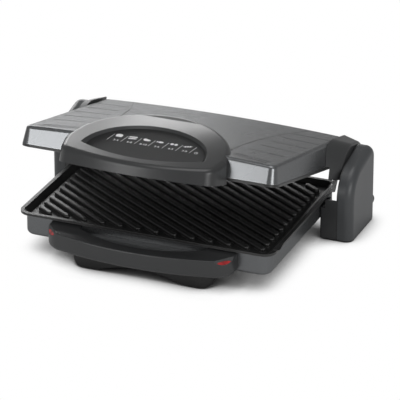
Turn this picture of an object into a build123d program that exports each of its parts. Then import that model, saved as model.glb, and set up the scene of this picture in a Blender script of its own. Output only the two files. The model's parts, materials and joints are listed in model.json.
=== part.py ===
from build123d import *
import os
from math import atan2, cos, degrees, radians, sin, sqrt, tan

# Contact grill with a floating lid, in millimetres.
# +Z is up from the table, X runs across, and the user stands at -Y.
# The pieces are laid out from the front edge of the lower plate (y = 0) and
# from the table (z = 0).  The whole part is centred on its box at the end.
# Lid pieces are laid out closed, then lifted and tilted to the rest pose.

# ---- clearances -------------------------------------------------------------
SEAT_GAP = 0.3           # between pieces that rest on or beside each other
SWING_GAP = 0.7          # beside pieces that swing or slide past
SHAFT_GAP = 0.05         # radial, round a turning or sliding shaft
SCREW_GAP = 0.1          # radial, round a screw

# ---- grill plates -----------------------------------------------------------
RIM_HEIGHT = 55.0        # rim of the lower plate above the table
PLATE_WIDTH = 328.0
PLATE_DEPTH = 230.0
PLATE_CORNER = 15.0
LIP_THICKNESS = 3.0
LIP_WIDTH = 4.5          # flat top of the rim
COLLAR_INSET = 5.5       # ring under the lip that seats on the housing's wall
COLLAR_HEIGHT = 2.5
PAN_INSET = 9.0          # from the rim's edge to the pan's outer wall
PAN_DEPTH = 6.0
PAN_FLOOR = 3.0
PAN_WALL = 3.0
RIB_WIDTH = 6.5
RIB_HEIGHT = 4.2
RIB_PITCH = 12.6
RIB_ANGLE = -33.0        # degrees, the ribs run to the front on the right
RIB_MARGIN = 17.0        # bare border between the rim's edge and the ribs
RIB_ROUND = 1.8
SPOUT_WIDTH = 22.0
SPOUT_Y = 27.0
SPOUT_DEPTH = 2.8
SPOUT_FLOOR = 4.0
SPOUT_SHEET = 1.6        # metal left under the spout
BOSS_RADIUS = 5.5
BOSS_INSET = 67.0        # from the rim's edge to the screw bosses
BOSS_ROWS = (65.0, 150.0)

# ---- heaters ----------------------------------------------------------------
ELEMENT_RADIUS = 3.2
ELEMENT_BEND = 18.0
ELEMENT_INSET = 29.0     # from the rim's edge to the outer runs
ELEMENT_FRONT = 40.0
ELEMENT_REAR = 182.0
ELEMENT_INNER = 60.0
ELEMENT_INNER_REAR = 122.0
TERMINAL_X = 20.0
TERMINAL_END = 208.0
REFLECTOR_GAP = 1.4      # between the element and the reflector
REFLECTOR_SHEET = 0.8
REFLECTOR_INSET_X = 16.0 # from the rim's edge
REFLECTOR_INSET_Y = 15.0
REFLECTOR_WALL = 4.0
REFLECTOR_CORNER = 12.0

# ---- lower housing ----------------------------------------------------------
HOUSING_INSET = 6.0      # the plate's rim overhangs the housing's sides
HOUSING_FRONT = 5.0
HOUSING_REAR = 231.0
HOUSING_CORNER = 14.0
HOUSING_BOTTOM = 24.0
HOUSING_WALL = 2.0
HOUSING_ROUND = 5.0
COVER_SHEET = 2.3
COVER_FRONT = 36.0
COVER_REAR = 222.0
COVER_INSET = 13.0       # from the housing's sides
COVER_LAP = 6.0          # flange that the bottom cover lies against
VENT_LENGTH = 40.0
VENT_WIDTH = 3.5
VENT_PITCH = 8.0
VENT_COUNT = 9

# ---- lower handle and front foot --------------------------------------------
HANDLE_WIDTH = 238.0
HANDLE_BOW = 38.0        # reach of the middle in front of the plate
HANDLE_END = 20.0        # reach of the ends
HANDLE_CORNER = 24.0
HANDLE_REAR_TOP = 49.5
HANDLE_FRONT_TOP = 47.0
HANDLE_WALL = 3.0
HANDLE_ROUND = 7.0
HANDLE_RIM_ROUND = 1.6
SCOOP_WIDTH = 164.0
SCOOP_REACH = 25.0       # front edge of the finger scoop before the plate
SCOOP_DEPTH = 8.0
SCOOP_FLOOR = 9.0        # length of its level floor
HANDLE_BOSS = 10.0       # length of the screw bosses
FOOT_X = 74.0
FOOT_WIDTH = 38.0
FOOT_FRONT = -9.0
FOOT_REAR = 31.0
FOOT_HEEL = 15.0         # corner radius under the outer side of a foot
FOOT_CORNER = 20.0       # its corners seen from above
FOOT_SWEEP = 40.0        # radius between a foot and the arch
ARCH_HEIGHT = 12.0
PAD_RADIUS = 11.0
PAD_HEIGHT = 3.7
PAD_PROUD = 2.0          # stands out below the foot

# ---- lamps ------------------------------------------------------------------
FACET_CUT = 4.5          # the facet's reach on the handle's top at each corner
FACET_TURN = 46.0        # degrees round the corner from straight ahead
FACET_TILT = 33.0        # degrees, the facet looks up by this much
LENS_WIDTH = 18.0        # almond-shaped lens in the facet
LENS_UPPER = 1.6         # bulge of its upper and lower edges
LENS_LOWER = 3.0
LENS_DROP = 4.2          # from the facet's upper edge to the lens's tips
LENS_DEPTH = 3.0
LAMP_RADIUS = 2.0
LAMP_LENGTH = 13.0

# ---- towers -----------------------------------------------------------------
TOWER_GAP = 17.0         # from the plates' sides to the towers' inner walls
TOWER_WIDTH = 18.0
TOWER_FRONT = 176.0
TOWER_REAR = 262.0
TOWER_FRONT_TOP = 85.6   # corner heights before rounding
TOWER_REAR_TOP = 102.8
TOWER_FRONT_ROUND = 40.0
TOWER_REAR_ROUND = 15.0
TOWER_BOTTOM = 2.0
TOWER_WALL = 2.5
TOWER_SIDE_ROUND = 10.0
BLOCK_GAP = 0.4          # beside the housing's side wall
BLOCK_REAR = 208.0
BLOCK_STEP = 1.0         # the block is lower up to here, outside the plate's rim
BLOCK_LOW_TOP = 42.2
BLOCK_TOP = 53.0
INNER_PLATE = 1.8
REAR_PAD_LENGTH = 44.0
REAR_PAD_WIDTH = 9.0
REAR_PAD_Y = 232.0

# ---- hinge ------------------------------------------------------------------
PIVOT_Y = 242.0
LIFT_REST = 18.0         # lift of the floating hinge at rest
LIFT_EXTRA = 4.0         # further lift above the rest pose
OPEN_REST = 15.5         # degrees, tilt of the lid at rest
PIN_RADIUS = 5.0
PIN_BORE = 3.2
PIN_START = 4.5          # from the lid's side to the pin's inner end
PIN_HEAD_RADIUS = 7.0
PIN_HEAD = 1.6
SLIDER_GAP = 0.8         # from the tower's inner wall
SLIDER_WIDTH = 9.0
SLIDER_HALF_Y = 15.5
SLIDER_HALF_Z = 11.0
ROD_RADIUS = 2.5
ROD_OFFSET = 10.5
ROD_WALL = 1.0
ROD_SEAT = 4.0
BRACKET_HEIGHT = 8.0

# ---- lid --------------------------------------------------------------------
LID_BOTTOM = 3.6         # lower edge of the cover above the closed rim
LID_INSET = 1.0          # from the plates' sides
LID_FRONT = 1.0
LID_REAR = 250.0
LID_CORNER = 11.0
LID_DRAFT = 9.0          # degrees
LID_FRONT_TOP = 24.5     # at the side edges, above the closed rim
LID_TILT = 1.9           # degrees, the top rises to the rear
LID_CROWN = 4.5          # rise of the middle over the side edges
LID_ROUND = 4.5
LID_WALL = 2.0
GROOVE_WIDTH = 2.2
GROOVE_DEPTH = 0.9
GROOVE_LENGTH = 48.0
GROOVE_PAIR_Y = 20.0     # two grooves close together at the front
GROOVE_PAIR_GAP = 7.5
GROOVE_FIRST_Y = 67.5
GROOVE_PITCH = 34.0
GROOVE_COUNT = 5
GROOVE_LEVEL_Y = 152.0   # where the grooves run straight across
GROOVE_INSET = 33.0      # from the lid's side to the middle of that groove
GROOVE_DRIFT = 0.06      # outward shift for each mm to the rear
GROOVE_FAN = 0.098       # degrees of turn for each mm to the rear
SEAM_FRONT_X = 92.0
SEAM_WAIST_X = 88.5
SEAM_WAIST_Y = 100.0
SEAM_REAR_X = 118.0
SEAM_WIDTH = 1.1
SEAM_MARGIN = 9.0        # bare stretch before the lid's front and rear edges

# ---- lid arms ---------------------------------------------------------------
ARM_BITE = 3.8           # the arm starts inside the lid's side and is cut to fit it
ARM_REACH = 15.5         # from the lid's side to the arm's outer face
ARM_BOTTOM = -12.0       # heights above the closed rim
ARM_INNER_FRONT = 173.0
ARM_INNER_TOP = 35.0
ARM_INNER_REAR = 270.0
ARM_OUTER_FRONT = 196.0
ARM_OUTER_TOP = 29.0
ARM_OUTER_REAR = 273.0
ARM_FRONT_ROUND = 32.0
ARM_REAR_ROUND = 26.0
ARM_SHOULDER = 4.0
ARM_REAR_GAP = 2.0       # from the lid's side to the arm's inner face behind the lid
ARM_NOTCH_GAP = 3.5      # from the lid's side to the inner face beside the plates
ARM_NOTCH_Z = 4.0
STRIP_INSET = 7.5        # from the arm's outer face to the strip's middle
STRIP_SHEET = 4.0
STRIP_TOP = (199.0, -6.0)
STRIP_FOOT = (191.5, -27.0)
STRIP_WIDTH = 5.0

# ---- console hood -----------------------------------------------------------
HOOD_BOTTOM = -4.5       # heights above the closed rim
HOOD_RISE = 75.0         # walls before the sloping top cuts them
HOOD_FRONT = 45.0        # reach in front of the plate
HOOD_CORNER_X = 98.0
HOOD_CORNER_Y = -31.0
HOOD_HALF = 104.0
HOOD_SIDE_Y = -4.0
HOOD_ARCH = 90.0
HOOD_DRAFT = 3.0
HOOD_LIP = 11.0          # height of the front top edge
HOOD_LIP_Y = -41.0
HOOD_SLOPE = 19.2        # degrees
HOOD_WALL = 2.6
WINDOW_INSET = 7.0       # edge of the lid's window under the hood
WINDOW_BOTTOM = 11.0
WINDOW_TAB = 6.5         # radius of the tabs left round the hood's screws
HOOD_EDGE_ROUND = 7.0
HOOD_CORNER_ROUND = 16.0
PANEL_SIDE_Y = -10.0     # the label pocket, measured along the slope
PANEL_HALF = 74.0
PANEL_BOW = 18.0
PANEL_ARCH = 57.0
PANEL_FLARE = 4.0        # widening of the pocket from its floor to its rim
PANEL_DEPTH = 4.5        # depth of the pocket's floor at its side line
PANEL_TILT = 2.2         # degrees, the floor is steeper than the hood
PANEL_SHEET = 1.2
UNDERSIDE_SHEET = 2.0
UNDERSIDE_TOP = 0.5      # height of the underside cover above the closed rim

# ---- small parts ------------------------------------------------------------
SCREW_RADIUS = 2.0
SCREW_HEAD_RADIUS = 3.8
SCREW_HEAD = 2.4
SCREW_BITE = 8.0
GLAND_INSET = 9.7        # from the tower's outer face
GLAND_Z = 22.0
GLAND_BORE = 3.7
GLAND_RADIUS = 5.6
GLAND_FLANGE = 7.4
GLAND_BOSS = 8.0
GLAND_BOSS_DEPTH = 10.0
GLAND_PROUD = 5.0
GLAND_INSIDE = 14.0
LAMP_INSET = 14.0        # from the handle's end to the lamp
LAMP_FRONT = -16.0
LAMP_Z = 40.0
LAMP_GRIP = 6.0          # length held in the holder
HOLDER_WIDTH = 9.0
HOLDER_HEIGHT = 7.0
THERMOSTAT_RADIUS = 9.0
THERMOSTAT_HEIGHT = 8.0
THERMOSTAT_Y = 90.0
FUSE_RADIUS = 2.2
FUSE_LENGTH = 16.0
FUSE_Y = 150.0
FUSE_LUG = 6.0
TERMINAL_BLOCK = (34.0, 14.0, 11.0)
TERMINAL_BLOCK_X = 112.0
TERMINAL_BLOCK_Y = 203.0
TERMINAL_COUNT = 3
SHELL_SCREWS = ((190.0, 14.0), (240.0, 10.5))
ARM_SCREWS = ((195.0, 15.0), (225.0, 18.0))
HOOD_SCREW_ANGLE = 50.0  # degrees round the hood's oval rear
HOOD_SCREW_STEP = 5.0    # inwards from the window's edge
UNDERSIDE_SCREW_X = 62.0
UNDERSIDE_SCREW_Y = -17.0

# ---- derived places ---------------------------------------------------------
HALF_PLATE = PLATE_WIDTH / 2
HOUSING_WIDTH = PLATE_WIDTH - 2 * HOUSING_INSET
COVER_WIDTH = HOUSING_WIDTH - 2 * COVER_INSET
LID_WIDTH = PLATE_WIDTH - 2 * LID_INSET
BOSS_X = HALF_PLATE - BOSS_INSET
ELEMENT_SIDE = HALF_PLATE - ELEMENT_INSET
REFLECTOR_WIDTH = PLATE_WIDTH - 2 * REFLECTOR_INSET_X
REFLECTOR_DEPTH = PLATE_DEPTH - 2 * REFLECTOR_INSET_Y
BLOCK_INNER = HOUSING_WIDTH / 2 + BLOCK_GAP
BLOCK_STEP_X = HALF_PLATE + BLOCK_STEP
ARM_INNER = LID_WIDTH / 2 - ARM_BITE
ARM_OUTER = LID_WIDTH / 2 + ARM_REACH
STRIP_X = ARM_OUTER - STRIP_INSET
PIN_INNER_END = LID_WIDTH / 2 + PIN_START
TOWER_INNER = HALF_PLATE + TOWER_GAP
TOWER_OUTER = TOWER_INNER + TOWER_WIDTH
TOWER_MIDDLE = TOWER_INNER + TOWER_WIDTH / 2
SLIDER_INNER = TOWER_INNER + SLIDER_GAP
SLIDER_OUTER = SLIDER_INNER + SLIDER_WIDTH
ROD_X = SLIDER_INNER + SLIDER_WIDTH / 2
GLAND_X = TOWER_OUTER - GLAND_INSET
GROOVE_LEVEL_X = LID_WIDTH / 2 - GROOVE_INSET
LAMP_X = HANDLE_WIDTH / 2 - LAMP_INSET
PLATE_MIDDLE = PLATE_DEPTH / 2
LIP_BOTTOM = RIM_HEIGHT - LIP_THICKNESS
PAN_TOP = RIM_HEIGHT - PAN_DEPTH
PAN_DRAFT = degrees(atan2(PAN_INSET + PAN_WALL - LIP_WIDTH, PAN_DEPTH))
PAN_UNDERSIDE = PAN_TOP - PAN_FLOOR
ELEMENT_Z = PAN_UNDERSIDE - SEAT_GAP - ELEMENT_RADIUS
REFLECTOR_TOP = ELEMENT_Z - ELEMENT_RADIUS - REFLECTOR_GAP
REFLECTOR_BOTTOM = REFLECTOR_TOP - REFLECTOR_SHEET
HOUSING_TOP = LIP_BOTTOM - COLLAR_HEIGHT - SEAT_GAP
HOUSING_MIDDLE = (HOUSING_FRONT + HOUSING_REAR) / 2
HOUSING_DEPTH = HOUSING_REAR - HOUSING_FRONT
COVER_TOP = HOUSING_BOTTOM - SEAT_GAP
FOOT_BOTTOM = PAD_PROUD
LID_POSE = Pos(0, PIVOT_Y, RIM_HEIGHT + LIFT_REST) * Rot(X=-OPEN_REST) * Pos(0, -PIVOT_Y, -RIM_HEIGHT)
CARRIAGE_POSE = Pos(0, 0, LIFT_REST)


def slab(width, depth, corner, bottom, top, middle_y, draft=0.0):
    """Rounded rectangular block between two heights, narrowing upwards by the draft angle."""
    outline = Pos(0, middle_y, bottom) * RectangleRounded(width, depth, corner)
    return extrude(outline, top - bottom, dir=(0, 0, 1), taper=draft)


def upright(radius, bottom, top, x, y):
    """Vertical round bar."""
    return Pos(x, y, bottom) * extrude(Circle(radius), top - bottom)


def crosswise(radius, start, end, y, z):
    """Round bar along X."""
    return Plane.YZ.offset(start) * Pos(y, z) * extrude(Circle(radius), end - start)


def lengthwise(radius, start, end, x, z):
    """Round bar along Y."""
    return Pos(x, start, z) * Rot(X=-90) * extrude(Circle(radius), end - start)


def side_prism(outline, start, end):
    """Outline drawn in (y, z), extruded along X from start to end."""
    return extrude(Plane.YZ.offset(start) * outline, end - start)


def on_left(piece):
    return mirror(piece, about=Plane.YZ)


# ---- grill plates -----------------------------------------------------------
def rib_lines(width, depth):
    """Centre and length of each diagonal rib on a width by depth cooking field."""
    direction = Vector(1, 0, 0).rotate(Axis.Z, RIB_ANGLE)
    across = Vector(0, 1, 0).rotate(Axis.Z, RIB_ANGLE)
    count = int((width + depth) / RIB_PITCH)
    lines = []
    for step in range(-count, count + 1):
        start = across * (step * RIB_PITCH)
        reach_x = sorted((side * width / 2 - start.X) / direction.X for side in (-1, 1))
        reach_y = sorted((side * depth / 2 - start.Y) / direction.Y for side in (-1, 1))
        low = max(reach_x[0], reach_y[0])
        high = min(reach_x[1], reach_y[1])
        length = high - low
        if length > 3 * RIB_WIDTH:
            lines.append((start + direction * ((low + high) / 2), length))
    return lines


def grill_plate():
    """Cast plate facing up: a flat lip, a sloping pan, diagonal ribs and four bosses."""
    lip = slab(PLATE_WIDTH, PLATE_DEPTH, PLATE_CORNER, LIP_BOTTOM, RIM_HEIGHT, PLATE_MIDDLE)
    pan_width = PLATE_WIDTH - 2 * PAN_INSET
    pan_depth = PLATE_DEPTH - 2 * PAN_INSET
    pan = slab(pan_width, pan_depth, PLATE_CORNER - 2, PAN_UNDERSIDE, LIP_BOTTOM + 1, PLATE_MIDDLE)
    collar = slab(
        PLATE_WIDTH - 2 * COLLAR_INSET, PLATE_DEPTH - 2 * COLLAR_INSET, PLATE_CORNER - 1,
        LIP_BOTTOM - COLLAR_HEIGHT, LIP_BOTTOM + 1, PLATE_MIDDLE,
    )
    mouth = Pos(0, PLATE_MIDDLE, RIM_HEIGHT) * RectangleRounded(
        PLATE_WIDTH - 2 * LIP_WIDTH, PLATE_DEPTH - 2 * LIP_WIDTH, PLATE_CORNER - LIP_WIDTH
    )
    hollow = extrude(mouth, PAN_DEPTH, dir=(0, 0, -1), taper=PAN_DRAFT)
    plate = lip + collar + pan - hollow
    ribs = []
    for centre, length in rib_lines(PLATE_WIDTH - 2 * RIB_MARGIN, PLATE_DEPTH - 2 * RIB_MARGIN):
        outline = Pos(centre.X, PLATE_MIDDLE + centre.Y, PAN_TOP - 1) * Rot(Z=RIB_ANGLE)
        rib = outline * extrude(SlotOverall(length, RIB_WIDTH), RIB_HEIGHT + 1)
        top_edges = rib.edges().group_by(Axis.Z)[-1]
        ribs.append(fillet(top_edges, RIB_ROUND))
    for x in (-BOSS_X, BOSS_X):
        for y in BOSS_ROWS:
            boss = upright(BOSS_RADIUS, REFLECTOR_TOP + SEAT_GAP, PAN_UNDERSIDE + 1, x, y)
            plate = plate + boss
    for x in (-BOSS_X, BOSS_X):
        for y in BOSS_ROWS:
            plate = plate - upright(SCREW_RADIUS + SCREW_GAP, 0, REFLECTOR_TOP + SEAT_GAP + SCREW_BITE, x, y)
    return plate + ribs


def spout_profile(sheet):
    """V-shaped dip in the rim, in (y, z), lowered by the thickness of the sheet below it."""
    half = SPOUT_WIDTH / 2 + sheet
    half_floor = SPOUT_FLOOR / 2
    floor = RIM_HEIGHT - SPOUT_DEPTH - sheet
    top = RIM_HEIGHT + 1
    return make_face(Polyline(
        (SPOUT_Y - half, RIM_HEIGHT), (SPOUT_Y - half, top), (SPOUT_Y + half, top),
        (SPOUT_Y + half, RIM_HEIGHT), (SPOUT_Y + half_floor, floor), (SPOUT_Y - half_floor, floor),
        close=True,
    ))


def with_spout(plate):
    """The lower plate has a spout through its right rim."""
    below = side_prism(spout_profile(SPOUT_SHEET), HALF_PLATE - LIP_WIDTH, HALF_PLATE)
    above = Pos(0, 0, RIM_HEIGHT + LIP_BOTTOM) * Box(2 * PLATE_WIDTH, 2 * PLATE_DEPTH, 2 * RIM_HEIGHT)
    notch = side_prism(spout_profile(0), HALF_PLATE - PAN_INSET, HALF_PLATE + 1)
    return plate + (below - above) - notch


def flipped(piece):
    """Lower piece turned over onto the closed lid."""
    return mirror(piece, about=Plane.XY.offset(RIM_HEIGHT + SEAT_GAP / 2))


def heating_element():
    """Tubular heater in one rounded zigzag loop under the pan, with both ends at the rear."""
    half = [
        (TERMINAL_X, TERMINAL_END),
        (TERMINAL_X, ELEMENT_REAR),
        (ELEMENT_SIDE, ELEMENT_REAR),
        (ELEMENT_SIDE, ELEMENT_FRONT),
        (ELEMENT_INNER, ELEMENT_FRONT),
        (ELEMENT_INNER, ELEMENT_INNER_REAR),
    ]
    route = [(-x, y, ELEMENT_Z) for x, y in half] + [(x, y, ELEMENT_Z) for x, y in reversed(half)]
    path = FilletPolyline(*route, radius=ELEMENT_BEND)
    start = Plane(origin=path @ 0, z_dir=path % 0)
    return sweep(start * Circle(ELEMENT_RADIUS), path=path)


def reflector():
    """Shallow sheet tray behind the heater."""
    tray = slab(
        REFLECTOR_WIDTH, REFLECTOR_DEPTH, REFLECTOR_CORNER,
        REFLECTOR_BOTTOM, REFLECTOR_TOP + REFLECTOR_WALL, PLATE_MIDDLE,
    )
    inside = slab(
        REFLECTOR_WIDTH - 2 * REFLECTOR_SHEET, REFLECTOR_DEPTH - 2 * REFLECTOR_SHEET,
        REFLECTOR_CORNER - REFLECTOR_SHEET, REFLECTOR_TOP, RIM_HEIGHT, PLATE_MIDDLE,
    )
    tray = tray - inside
    for x in (-BOSS_X, BOSS_X):
        for y in BOSS_ROWS:
            tray = tray - upright(SCREW_RADIUS + SCREW_GAP, 0, RIM_HEIGHT, x, y)
    return tray


def screw(bottom, length, x, y):
    """Pan-head screw standing up, its head at the bottom."""
    head = upright(SCREW_HEAD_RADIUS, bottom, bottom + SCREW_HEAD, x, y)
    shank = upright(SCREW_RADIUS, bottom + SCREW_HEAD, bottom + SCREW_HEAD + length, x, y)
    slot = Pos(x, y, bottom) * Box(2 * SCREW_HEAD_RADIUS - 2, 1, 1.6)
    return fillet((head + shank).edges().sort_by(Axis.Z)[0], 0.7) - slot


# ---- lower housing ----------------------------------------------------------
def lower_housing():
    """Metallic tray round the lower plate, open above and cut out below for the bottom cover."""
    outer = slab(
        HOUSING_WIDTH, HOUSING_DEPTH, HOUSING_CORNER, HOUSING_BOTTOM, HOUSING_TOP, HOUSING_MIDDLE
    )
    outer = fillet(outer.edges().group_by(Axis.Z)[0], HOUSING_ROUND)
    inner = slab(
        HOUSING_WIDTH - 2 * HOUSING_WALL, HOUSING_DEPTH - 2 * HOUSING_WALL,
        HOUSING_CORNER - HOUSING_WALL, HOUSING_BOTTOM + HOUSING_WALL, HOUSING_TOP + 1, HOUSING_MIDDLE,
    )
    inner = fillet(inner.edges().group_by(Axis.Z)[0], HOUSING_ROUND - HOUSING_WALL)
    cover_depth = COVER_REAR - COVER_FRONT
    opening = slab(
        COVER_WIDTH - 2 * COVER_LAP, cover_depth - 2 * COVER_LAP, HOUSING_CORNER,
        0, HOUSING_BOTTOM + HOUSING_WALL + 1, (COVER_FRONT + COVER_REAR) / 2,
    )
    housing = outer - inner - opening
    for x, y, z in handle_screw_places():
        housing = housing - lengthwise(SCREW_RADIUS + SCREW_GAP, y - 1, y + HOUSING_WALL + 1, x, z)
    for side in (-1, 1):
        for y, z in block_screw_places():
            inside = HOUSING_WIDTH / 2 - HOUSING_WALL - 1
            hole = crosswise(SCREW_RADIUS + SCREW_GAP, inside, HOUSING_WIDTH / 2 + 1, y, z)
            housing = housing - (hole if side > 0 else on_left(hole))
    return housing


def bottom_cover():
    """Flat cover under the housing, with cooling slots and four posts for the plate screws."""
    cover = slab(
        COVER_WIDTH, COVER_REAR - COVER_FRONT, HOUSING_CORNER,
        COVER_TOP - COVER_SHEET, COVER_TOP, (COVER_FRONT + COVER_REAR) / 2,
    )
    vent = extrude(SlotOverall(VENT_LENGTH, VENT_WIDTH), 10, both=True)
    for row_x in (-VENT_LENGTH, VENT_LENGTH):
        for index in range(VENT_COUNT):
            y = PLATE_MIDDLE + (index - (VENT_COUNT - 1) / 2) * VENT_PITCH
            cover = cover - Pos(row_x, y, COVER_TOP) * vent
    for x in (-BOSS_X, BOSS_X):
        for y in BOSS_ROWS:
            post = upright(BOSS_RADIUS + 1, COVER_TOP - 1, REFLECTOR_BOTTOM - SEAT_GAP, x, y)
            cover = cover + post
            cover = cover - upright(SCREW_RADIUS + SCREW_GAP, 0, RIM_HEIGHT, x, y)
            recess = upright(SCREW_HEAD_RADIUS + SEAT_GAP, 0, plate_screw_bottom() + SCREW_HEAD, x, y)
            cover = cover - recess
    return cover


def plate_screw_bottom():
    """Underside of the heads of the screws that clamp cover, reflector and lower plate."""
    return COVER_TOP - COVER_SHEET + 1


def lower_plate_screws():
    bottom = plate_screw_bottom()
    length = REFLECTOR_TOP + SEAT_GAP + SCREW_BITE - 1 - bottom - SCREW_HEAD
    return [screw(bottom, length, x, y) for x in (-BOSS_X, BOSS_X) for y in BOSS_ROWS]


# ---- lower handle -----------------------------------------------------------
def bowed_outline(half_width, rear, end, bow):
    """Plan outline with a straight rear, straight ends and a bowed front."""
    return make_face([
        Line((half_width, rear), (-half_width, rear)),
        Line((-half_width, rear), (-half_width, -end)),
        ThreePointArc((-half_width, -end), (0, -bow), (half_width, -end)),
        Line((half_width, -end), (half_width, rear)),
    ])


def above_handle(drop):
    """Everything above the handle's sloping top, moved down by drop."""
    rear = HOUSING_FRONT
    front = -2 * HANDLE_BOW
    slope = (HANDLE_REAR_TOP - HANDLE_FRONT_TOP) / HANDLE_BOW
    level = HANDLE_REAR_TOP - drop
    profile = Polyline(
        (rear, level + slope * rear), (front, level + slope * front), (front, 2 * RIM_HEIGHT),
        (rear, 2 * RIM_HEIGHT), close=True,
    )
    return side_prism(make_face(profile), -HANDLE_WIDTH, HANDLE_WIDTH)


def scoop(margin):
    """Wedge of air for the fingers, deepest beside the housing; margin thickens its wall."""
    rear = HOUSING_FRONT
    top = 2 * RIM_HEIGHT
    deep = HANDLE_REAR_TOP - SCOOP_DEPTH - margin
    reach = SCOOP_REACH + margin
    profile = Polyline(
        (rear, top), (rear, deep), (rear - SCOOP_FLOOR, deep), (-reach, HANDLE_FRONT_TOP + 0.5 - margin),
        (-reach, top), close=True,
    )
    half = SCOOP_WIDTH / 2 + margin
    wedge = side_prism(make_face(profile), -half, half)
    plan = bowed_outline(half, rear + 1, 2 + margin, reach)
    return wedge & extrude(plan, top)


def handle_screw_places():
    """Centres of the two screws that hold the handle, in the housing's front wall."""
    height = HOUSING_BOTTOM + 9
    return [(x, HOUSING_FRONT, height) for x in (-FOOT_X, FOOT_X)]


def facet_plane():
    """Facet on the handle's right corner, facing out and up; its X runs round the corner."""
    half = HANDLE_WIDTH / 2
    sagitta = HANDLE_BOW - HANDLE_END
    bow_radius = (half ** 2 + sagitta ** 2) / (2 * sagitta)
    centre_x = half - HANDLE_CORNER
    centre_y = bow_radius - HANDLE_BOW - sqrt((bow_radius - HANDLE_CORNER) ** 2 - centre_x ** 2)
    turn = radians(FACET_TURN)
    tilt = radians(FACET_TILT)
    reach = HANDLE_CORNER - FACET_CUT
    y = centre_y - reach * cos(turn)
    z = HANDLE_REAR_TOP + y * (HANDLE_REAR_TOP - HANDLE_FRONT_TOP) / HANDLE_BOW
    return Plane(
        origin=(centre_x + reach * sin(turn), y, z), x_dir=(cos(turn), sin(turn), 0),
        z_dir=(sin(turn) * cos(tilt), -cos(turn) * cos(tilt), sin(tilt)),
    )


def beyond_facets(depth):
    """Everything outside the facets of both corners, moved in by depth."""
    size = 2 * HANDLE_CORNER
    right = facet_plane().offset(size / 2 - depth) * Box(size, size, size)
    return [right, on_left(right)]


def handle_plan(inset):
    """Plan outline of the lower handle, drawn in by inset, with rounded front corners."""
    outline = bowed_outline(
        HANDLE_WIDTH / 2 - inset, HOUSING_FRONT - SEAT_GAP - inset, HANDLE_END - inset, HANDLE_BOW - inset
    )
    corners = outline.vertices().group_by(Axis.Y)[0]
    return fillet(corners, HANDLE_CORNER - inset)


def handle_form():
    """Outer form of the handle, before it is hollowed."""
    form = Pos(0, 0, HOUSING_BOTTOM) * extrude(handle_plan(0), RIM_HEIGHT - HOUSING_BOTTOM)
    form = form - above_handle(0)
    form = fillet(form.edges().group_by(Axis.Z)[0], HANDLE_ROUND)
    top_edges = [edge for edge in form.edges() if edge.center().Z > HANDLE_FRONT_TOP - 1
                 and edge.center().Y < HOUSING_FRONT - 2]
    return fillet(top_edges, HANDLE_RIM_ROUND) - beyond_facets(0)


def handle_room(wall):
    """Room inside the handle's wall."""
    room = Pos(0, 0, HOUSING_BOTTOM - 1) * extrude(handle_plan(wall), RIM_HEIGHT - HOUSING_BOTTOM)
    return room - above_handle(wall) - beyond_facets(wall)


def lens_shape(clearance):
    """Almond-shaped lamp lens that fills its window in the facet of the right corner."""
    half = LENS_WIDTH / 2 + clearance
    almond = make_face([
        ThreePointArc((-half, 0), (0, LENS_UPPER + clearance), (half, 0)),
        ThreePointArc((half, 0), (0, -LENS_LOWER - clearance), (-half, 0)),
    ])
    window = facet_plane() * Pos(0, -LENS_DROP, 0) * extrude(almond, HANDLE_CORNER / 2, both=True)
    return (handle_form() & window) - handle_room(LENS_DEPTH + clearance)


def front_handle():
    """Hollow bowed grip on the front of the housing, with a finger scoop and lamp windows."""
    body = handle_form() - (handle_room(HANDLE_WALL) - scoop(HANDLE_WALL)) - scoop(0)
    pocket = lens_shape(SEAT_GAP / 2)
    body = body - pocket - on_left(pocket)
    for x, y, z in handle_screw_places():
        boss = Pos(x, y - SEAT_GAP - HANDLE_BOSS / 2, z) * Rot(X=90) * Cylinder(BOSS_RADIUS, HANDLE_BOSS)
        body = body + boss
        body = body - lengthwise(SCREW_RADIUS + SCREW_GAP, y - SEAT_GAP - HANDLE_BOSS, y, x, z)
    return body


# ---- front foot -------------------------------------------------------------
def front_foot_bar():
    """Black bar under the front: a rounded foot at each side and a low arch between."""
    outer = FOOT_X + FOOT_WIDTH / 2
    inner = FOOT_X - FOOT_WIDTH / 2
    profile = make_face([
        Polyline((-inner, FOOT_BOTTOM), (-outer, FOOT_BOTTOM), (-outer, COVER_TOP), (outer, COVER_TOP),
                 (outer, FOOT_BOTTOM), (inner, FOOT_BOTTOM)),
        ThreePointArc((inner, FOOT_BOTTOM), (0, ARCH_HEIGHT), (-inner, FOOT_BOTTOM)),
    ])
    low = [v for v in profile.vertices() if v.Y < FOOT_BOTTOM + 1]
    profile = fillet([v for v in low if abs(v.X) > FOOT_X], FOOT_HEEL)
    low = [v for v in profile.vertices() if v.Y < FOOT_BOTTOM + 1 and abs(v.X) < inner + 1]
    profile = fillet(low, FOOT_SWEEP)
    bar = extrude(Plane.XZ.offset(-FOOT_REAR) * profile, FOOT_REAR - FOOT_FRONT)
    plan = Pos(0, (FOOT_FRONT + FOOT_REAR) / 2) * Rectangle(2 * outer, FOOT_REAR - FOOT_FRONT)
    plan = fillet(plan.vertices().group_by(Axis.Y)[0], FOOT_CORNER)
    bar = bar & extrude(plan, HOUSING_BOTTOM)
    for x, y in front_pad_places():
        bar = bar - upright(PAD_RADIUS + SEAT_GAP, 0, PAD_HEIGHT + SEAT_GAP, x, y)
    return bar


def front_pad_places():
    return [(x, (FOOT_FRONT + FOOT_REAR) / 2) for x in (-FOOT_X, FOOT_X)]


def front_foot_pads():
    pads = []
    for x, y in front_pad_places():
        pad = upright(PAD_RADIUS, 0, PAD_HEIGHT, x, y)
        pads.append(fillet(pad.edges().sort_by(Axis.Z)[0], 0.6))
    return pads


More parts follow.
